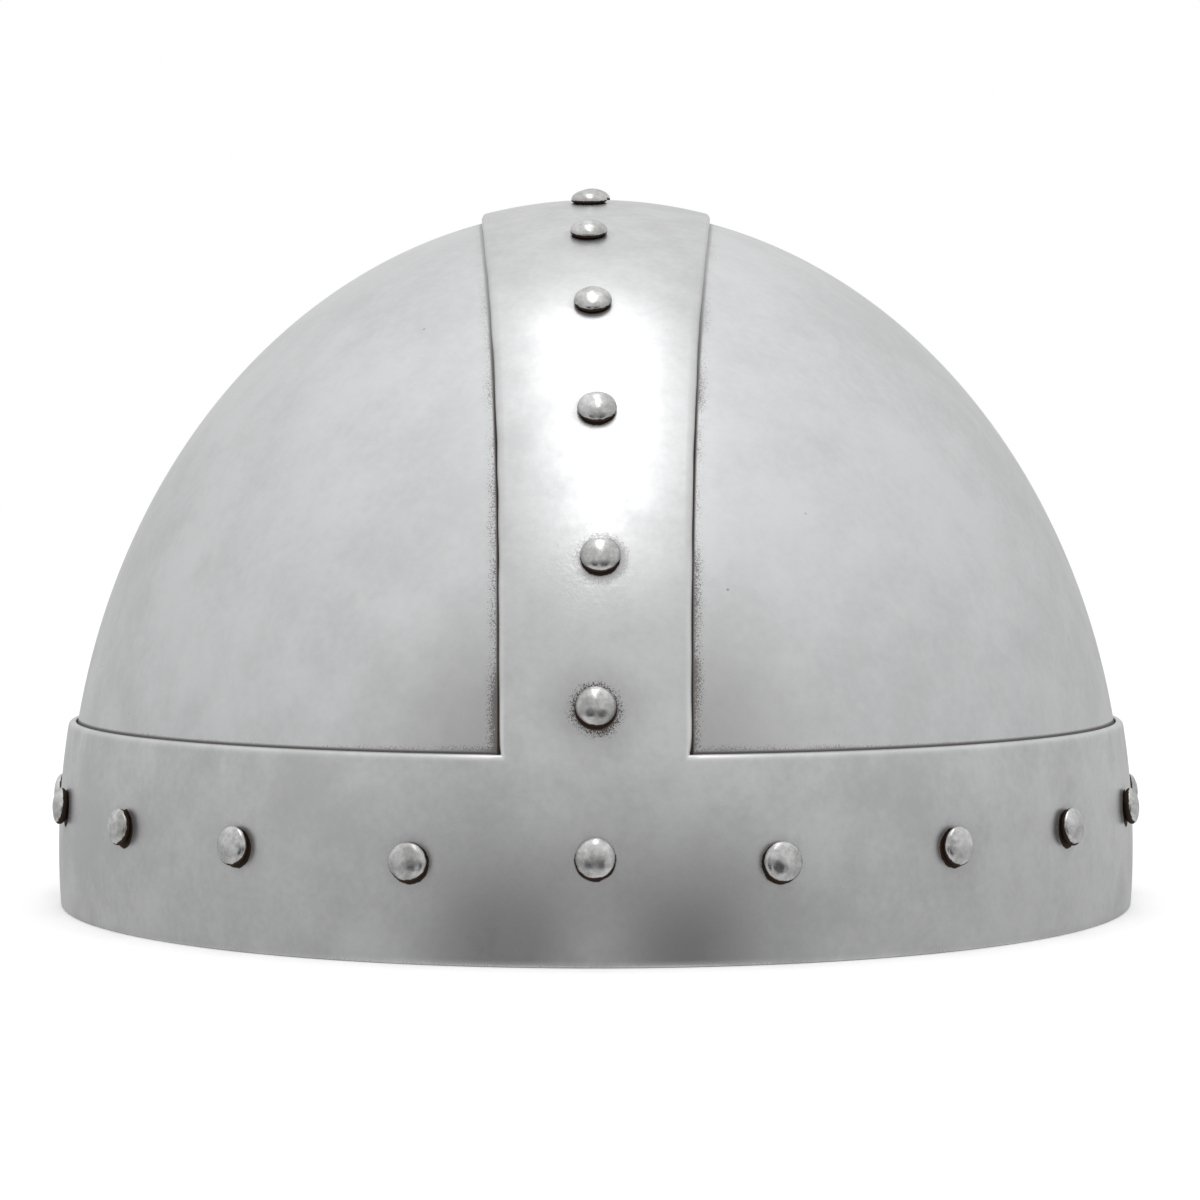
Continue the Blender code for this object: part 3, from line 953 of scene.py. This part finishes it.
def frame_steel_material():
    steel = Steel("blasted_frame_steel")
    clouds = steel.use("clouds", Patch_Scale=30.0)
    grain = steel.use("grain")
    pits = steel.use("pits", Pit_Scale=110.0)
    coarse = steel.math("SUBTRACT", steel.mark("rivet_mm"), COARSE_LESS)
    to_rivet = steel.math("MAXIMUM", steel.length_of("from_rivet_mm"), coarse)
    beyond_head = steel.math("SUBTRACT", to_rivet, HEAD_RADIUS / MM)
    # specks of grime round a head, over a thin line of grime and painted shadow at its edge
    ring = steel.use("specks", Distance=beyond_head, Reach=2.6, Line=0.4, Density=0.58, Strength=0.8)
    ring = steel.math("MULTIPLY", ring, steel.mark("rivet_dirt"))
    ragged = steel.math("MULTIPLY", add_noise(steel.tree, steel.place, 700.0, 2.0, 0.6), RAGGED_EDGE)
    cleaner = steel.range(steel.mark("rim_mm"), 40.0, 110.0, 0.0, 0.3)  # less grime and painted shadow towards the crown
    grime_and_shadow_edge = steel.math("ADD", steel.math("ADD", beyond_head, ragged), cleaner)
    # a thin dark ring at the edge of each head, reaching lower below it: grime and painted contact shadow
    grime_and_shadow_under_head = steel.range(grime_and_shadow_edge, 0.25, 0.50, 1.0, 0.0)
    rim = steel.use("specks", Distance=steel.mark("rim_mm"), Reach=1.0, Line=0.3, Density=0.35)
    by_rivet = steel.math("MAXIMUM", ring, grime_and_shadow_under_head)
    dirt_and_shade = steel.math("MAXIMUM", by_rivet, steel.math("MULTIPLY", rim, RIM_DIRT))
    dirt_and_shade = steel.math("MAXIMUM", dirt_and_shade, steel.math("MULTIPLY", pits, PIT_DIRT))
    dirt_and_shade = steel.math("MULTIPLY", dirt_and_shade, FRAME_DIRTIEST)
    soot = steel.math("MULTIPLY", steel.range(beyond_head, 0.0, 8.0, 0.28, 0.0), steel.mark("rivet_dirt"))
    off_edge = steel.math("MINIMUM", steel.mark("strap_mm"), steel.mark("band_mm"))
    # rounded edges lighter: rubbed wear and a painted highlight, strongest near the T corner
    rubbed_and_lit = steel.range(steel.mark("corner_mm"), 1.0, 15.0, 0.95, 0.15)
    wear_and_highlight = steel.math("MULTIPLY", steel.range(off_edge, -1.4, -0.4, 0.0, 1.0), rubbed_and_lit)
    tone = steel.mix(soot, steel.mix(clouds, FRAME_DARK, FRAME_LIGHT), HALO)
    tone = steel.mix(wear_and_highlight, tone, EDGE_WEAR_AND_HIGHLIGHT)
    satin = steel.range(clouds, 0.0, 1.0, 0.38, 0.32)
    rough = steel.math("ADD", satin, steel.math("MULTIPLY", dirt_and_shade, DIRT_ROUGHNESS))
    pebbles = add_noise(steel.tree, steel.place, 1100.0, 2.0, 0.5)
    pebbles = steel.math("MULTIPLY", pebbles, steel.math("MULTIPLY", steel.mark("pebbled"), PEBBLE_DEPTH))
    pitted = steel.math("SUBTRACT", grain, steel.math("MULTIPLY", pits, PIT_DEPTH))
    return steel.finish(tone, dirt_and_shade, rough, steel.math("ADD", pitted, pebbles), SHEET_BUMP)


materials["frame_steel"] = frame_steel_material()
print("materials:", sorted(materials))

# %% [markdown]
# ### Rivet steel
#
# The hammer leaves the heads brighter and smoother than the sheet. Below the widest ring they are black-brown
# with grime and painted shade, and a thin uneven line of it climbs onto the dome, higher on the lower side.
# The spread tails inside stay cleaner.

# %% Rivet steel
RIVET_DARK = (0.36, 0.355, 0.35, 1.0)
RIVET_LIGHT = (0.74, 0.74, 0.74, 1.0)
RIVET_DIRT_ROUGHNESS = 0.5
RIVET_BUMP = 0.3


def rivet_steel():
    steel = Steel("hammered_rivet_steel")
    clouds = steel.use("clouds", Patch_Scale=240.0)
    grain = steel.use("grain", Grain_Scale=1500.0)
    uneven = steel.math("MULTIPLY", add_noise(steel.tree, steel.place, 900.0, 2.0, 0.5), 0.5)
    level = steel.math("ADD", steel.mark("above_ring_mm"), steel.math("SUBTRACT", uneven, 0.25))
    on_tail = steel.range(steel.mark("above_ring_mm"), -4.0, -3.0, 0.15, 0.98)
    # black-brown below the widest ring: grime and painted shade in the undercut
    dirt_and_shade = steel.math("MULTIPLY", steel.range(level, -0.05, 0.12, 1.0, 0.0), on_tail)
    tone = steel.mix(clouds, RIVET_DARK, RIVET_LIGHT)
    satin = steel.range(clouds, 0.0, 1.0, 0.34, 0.22)
    rough = steel.math("ADD", satin, steel.math("MULTIPLY", dirt_and_shade, RIVET_DIRT_ROUGHNESS))
    return steel.finish(tone, dirt_and_shade, rough, grain, RIVET_BUMP)


materials["rivet_steel"] = rivet_steel()
print("materials:", sorted(materials))

# %% [markdown]
# ### Dress the nodes
#
# Every fine piece rides on the one body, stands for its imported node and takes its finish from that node's
# material slot.

# %% Dress
slots = {"band_frame": "frame_steel", "left_panel": "panel_steel", "right_panel": "panel_steel"}
for node, piece in pieces.items():
    slot = slots.get(node, "rivet_steel")
    piece.data.materials.clear()
    piece.data.materials.append(materials[slot])
    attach(piece, "root")
    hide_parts(node)
print("dressed", len(pieces), "nodes")

# %% [markdown]
# ## Floor
#
# The helmet stands on its rim on a plain white floor. The floor glows faintly, so that it fades into the
# white behind it without a line, and still takes the soft shadow under the rim.

# %% Floor
FLOOR_SIZE = 60.0
FLOOR_COLOUR = (0.9, 0.9, 0.9, 1.0)
FLOOR_GLOW = 0.22

bpy.ops.object.select_all(action="DESELECT")
bpy.ops.mesh.primitive_plane_add(size=FLOOR_SIZE, location=(0, 0, 0))
floor = named("pale_floor")
floor_paint = bpy.data.materials.new("pale_floor_paint")
floor_paint.use_nodes = True
floor_shader = floor_paint.node_tree.nodes["Principled BSDF"]
floor_shader.inputs["Base Color"].default_value = FLOOR_COLOUR
floor_shader.inputs["Roughness"].default_value = 0.9
floor_shader.inputs["Specular IOR Level"].default_value = 0.0
floor_shader.inputs["Emission Color"].default_value = (1.0, 1.0, 1.0, 1.0)
floor_shader.inputs["Emission Strength"].default_value = FLOOR_GLOW
floor.data.materials.append(floor_paint)
floor.visible_glossy = False
print("floor", FLOOR_SIZE, "m wide")

# %% [markdown]
# ## The bright tent
#
# A bowl of satin metal shows its surroundings more than its own colour. The helmet stood in a bright tent:
# white overhead and behind, a little dimmer round the sides, and dark low in front, where the tent is open
# for the camera. The opening is darkest on either side of a bright strip straight ahead, and greyer above.
# The world is painted that way by direction, from tables of brightness and a few soft patches. It is plain
# white where the camera looks past the helmet.

# %% World helpers
world = bpy.data.worlds.new("bright_tent")
bpy.context.scene.world = world
world.use_nodes = True
sky = world.node_tree
sky.nodes.clear()

towards = sky.nodes.new("ShaderNodeSeparateXYZ")
feed(sky, towards.inputs["Vector"], sky.nodes.new("ShaderNodeTexCoord").outputs["Generated"])
forward = add_math(sky, "MULTIPLY", towards.outputs["Y"], -1.0)
turned_by = add_math(sky, "ARCTAN2", towards.outputs["X"], forward)
azimuth = add_math(sky, "ABSOLUTE", turned_by)  # 0 straight ahead, the same to the left and right
elevation = add_math(sky, "ARCSINE", towards.outputs["Z"])
LEVEL_SCALE = 4.0  # a ramp holds levels up to 1, so they are kept as quarters


def ramp_by_elevation(levels):
    """A brightness for each elevation, from a table of degrees and levels that spans -90 to 90."""
    share = add_math(sky, "ADD", add_math(sky, "DIVIDE", elevation, math.pi), 0.5)
    ramp = sky.nodes.new("ShaderNodeValToRGB")
    feed(sky, ramp.inputs["Fac"], share)
    elements = ramp.color_ramp.elements
    for degrees, level in levels[1:-1]:
        elements.new(degrees / 180 + 0.5)
    for element, (degrees, level) in zip(elements, levels):
        element.color = (level / LEVEL_SCALE,) * 3 + (1.0,)
    return add_math(sky, "MULTIPLY", ramp.outputs["Color"], LEVEL_SCALE)


def patch(value, start, end, soft):
    """1 between two angles in degrees, fading over soft degrees on either side."""
    rising = add_range(sky, value, math.radians(start - soft), math.radians(start + soft))
    falling = add_range(sky, value, math.radians(end - soft), math.radians(end + soft), 1.0, 0.0)
    return add_math(sky, "MULTIPLY", rising, falling)


def blend(factor, first, second):
    """first where factor is 0, second where it is 1."""
    apart = add_math(sky, "SUBTRACT", second, first)
    return add_math(sky, "ADD", first, add_math(sky, "MULTIPLY", apart, factor))


def add_patch(level, across, upwards, strength, patch_level):
    """Fades a patch of the world to its own level. Across and upwards it is start, end and soft."""
    inside = add_math(sky, "MULTIPLY", patch(azimuth, *across), patch(elevation, *upwards))
    return blend(add_math(sky, "MULTIPLY", inside, strength), level, patch_level)


print("world:", world.name)

# %% Paint the world
AROUND = [(-90, 0.95), (-30, 0.90), (-20, 0.64), (-10, 0.67), (0, 0.80), (14, 0.98), (30, 1.08)]
AROUND += [(60, 1.25), (90, 1.28)]
IN_FRONT = [(-90, 0.95), (-32, 0.88), (-24, 0.20), (-14, 0.09), (-4, 0.32), (6, 0.74), (13, 1.03)]
IN_FRONT += [(22, 0.94), (38, 0.82), (60, 1.15), (90, 1.28)]
BEHIND = [(-90, 0.95), (-30, 0.90), (-15, 0.62), (0, 0.86), (15, 0.97), (35, 1.12), (50, 1.28), (90, 1.28)]
OPENING = (-20, 36, 5)  # azimuth of the tent's opening: start, end and soft, in degrees

level = blend(patch(azimuth, *OPENING), ramp_by_elevation(AROUND), ramp_by_elevation(IN_FRONT))
level = add_patch(level, (8, 35, 3), (-27, -8, 4), 0.95, 0.01)  # dark sides of the opening
level = add_patch(level, (19, 36, 4), (-8, 4, 4), 0.5, 0.2)  # grey above them
level = add_patch(level, (-20, 4, 3), (-27, -9, 3), 1.0, 1.4)  # bright strip straight ahead
level = add_patch(level, (-20, 3, 3), (4, 18, 3), 0.35, 0.2)  # grey above the strip
behind = add_range(sky, towards.outputs["Y"], 0.0, 0.6)
level = blend(behind, level, ramp_by_elevation(BEHIND))

tent = sky.nodes.new("ShaderNodeBackground")
feed(sky, tent.inputs["Strength"], level)
white = sky.nodes.new("ShaderNodeBackground")
white.inputs["Color"].default_value = (1.0, 1.0, 1.0, 1.0)
choice = sky.nodes.new("ShaderNodeMixShader")
feed(sky, choice.inputs["Fac"], sky.nodes.new("ShaderNodeLightPath").outputs["Is Camera Ray"])
feed(sky, choice.inputs[1], tent.outputs["Background"])
feed(sky, choice.inputs[2], white.outputs["Background"])
feed(sky, sky.nodes.new("ShaderNodeOutputWorld").inputs["Surface"], choice.outputs["Shader"])
print("world nodes:", len(sky.nodes))

# %% [markdown]
# ## The soft box
#
# One long, narrow soft box hangs over the camera's line and reaches from just behind the crest well out in
# front. It is turned slightly to the right, and it makes the bright streak down the strap.

# %% Soft box
BOX_HEIGHT = 1.5
BOX_WIDTH = 0.39
BOX_LENGTH = 1.58
BOX_ASIDE = 0.04
BOX_FORWARD = 0.49
BOX_TURN = math.radians(5)
BOX_RADIANCE = 2.3

bpy.ops.object.select_all(action="DESELECT")
box_place = (BOX_ASIDE, -BOX_FORWARD, BOX_HEIGHT)
bpy.ops.object.light_add(type="AREA", location=box_place, rotation=(0, 0, BOX_TURN))
soft_box = bpy.context.active_object
soft_box.name = "overhead_soft_box"
soft_box.data.shape = "RECTANGLE"
soft_box.data.size = BOX_WIDTH
soft_box.data.size_y = BOX_LENGTH
soft_box.data.energy = BOX_RADIANCE * math.pi * BOX_WIDTH * BOX_LENGTH
soft_box.visible_camera = False
print("soft box", round(soft_box.data.energy, 1), "W")

# %% [markdown]
# ## Camera
#
# The picture was taken from just above the brow with a long lens. Its height and distance come from the
# curves of the rim and the band in the photograph, and the pitch from the row of the horizon.

# %% Camera
PHOTO_SIZE = 1200
HORIZON_ROW = 500.5
MIDDLE_COLUMN = 596
FOCAL_PIXELS = 3750
SENSOR_WIDTH = 36.0
CAMERA_DISTANCE = 0.750
CAMERA_HEIGHT = 0.0788

camera_data = bpy.data.cameras.new("photo_camera")
camera_data.sensor_width = SENSOR_WIDTH
camera_data.lens = FOCAL_PIXELS / PHOTO_SIZE * SENSOR_WIDTH
camera = bpy.data.objects.new("photo_camera", camera_data)
bpy.context.scene.collection.objects.link(camera)
pitch = math.atan((PHOTO_SIZE / 2 - HORIZON_ROW) / FOCAL_PIXELS)
sideways = (PHOTO_SIZE / 2 - MIDDLE_COLUMN) / FOCAL_PIXELS * CAMERA_DISTANCE
camera.location = (sideways, -CAMERA_DISTANCE, CAMERA_HEIGHT)
camera.rotation_euler = (math.pi / 2 - pitch, 0, 0)
bpy.context.scene.camera = camera
bpy.context.scene.view_settings.view_transform = "Standard"
print("lens", camera_data.lens, "pitch", round(math.degrees(pitch), 2))
